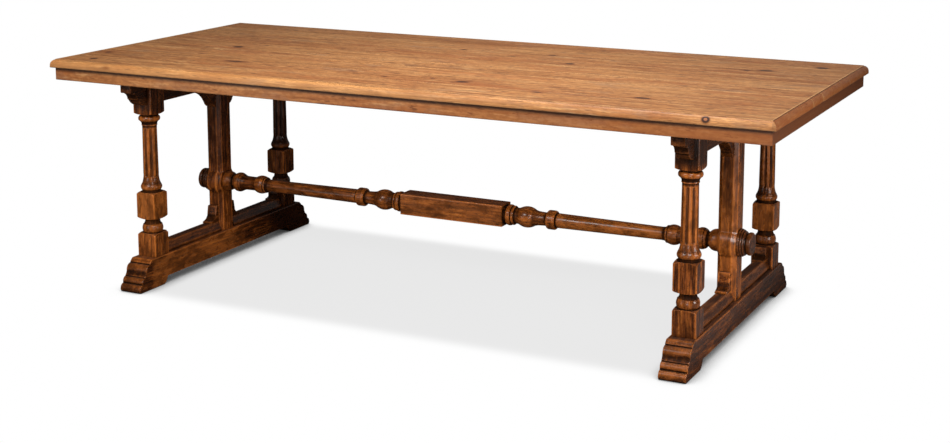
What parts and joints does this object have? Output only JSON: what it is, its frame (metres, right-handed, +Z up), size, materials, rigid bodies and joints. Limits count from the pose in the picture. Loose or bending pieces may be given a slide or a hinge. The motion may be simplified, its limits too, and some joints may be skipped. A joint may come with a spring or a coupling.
{
  "type": "refectory table",
  "caption": "Long wooden dining table: moulded plank top with an apron on trestles of turned, fluted legs, with sled feet and a low turned stretcher.",
  "frame": {"origin": "on the floor, under the middle of the table", "axes": "+X along the length, +Y from the front edge to the back edge, +Z up"},
  "size_m": [2.4384, 1.067, 0.762],
  "materials": {
    "top_wood": "waxed honey-brown plank wood",
    "base_wood": "dark walnut-brown stain, satin wax, worn edges",
    "screw_steel": "plain zinc-plated"
  },
  "bodies": {
    "root": {"back_apron": "top_wood", "front_apron": "top_wood", "left_apron": "top_wood", "left_back_bracket": "base_wood", "left_back_leg": "base_wood", "left_back_leg_knee": "base_wood", "left_back_post_knee": "base_wood", "left_back_rail": "base_wood", "left_bearer": "base_wood", "left_finial": "base_wood", "left_foot": "base_wood", "left_front_bracket": "base_wood", "left_front_leg": "base_wood", "left_front_leg_knee": "base_wood", "left_front_post_knee": "base_wood", "left_front_rail": "base_wood", "left_post": "base_wood", "right_apron": "top_wood", "right_back_bracket": "base_wood", "right_back_leg": "base_wood", "right_back_leg_knee": "base_wood", "right_back_post_knee": "base_wood", "right_back_rail": "base_wood", "right_bearer": "base_wood", "right_finial": "base_wood", "right_foot": "base_wood", "right_front_bracket": "base_wood", "right_front_leg": "base_wood", "right_front_leg_knee": "base_wood", "right_front_post_knee": "base_wood", "right_front_rail": "base_wood", "right_post": "base_wood", "stretcher": "base_wood", "top_board_1": "top_wood", "top_board_2": "top_wood", "top_board_3": "top_wood", "top_board_4": "top_wood", "top_board_5": "top_wood", "top_board_6": "top_wood", "top_board_7": "top_wood", "top_board_8": "top_wood", "top_board_9": "top_wood", "top_screws": "screw_steel"}
  },
  "joints": []
}
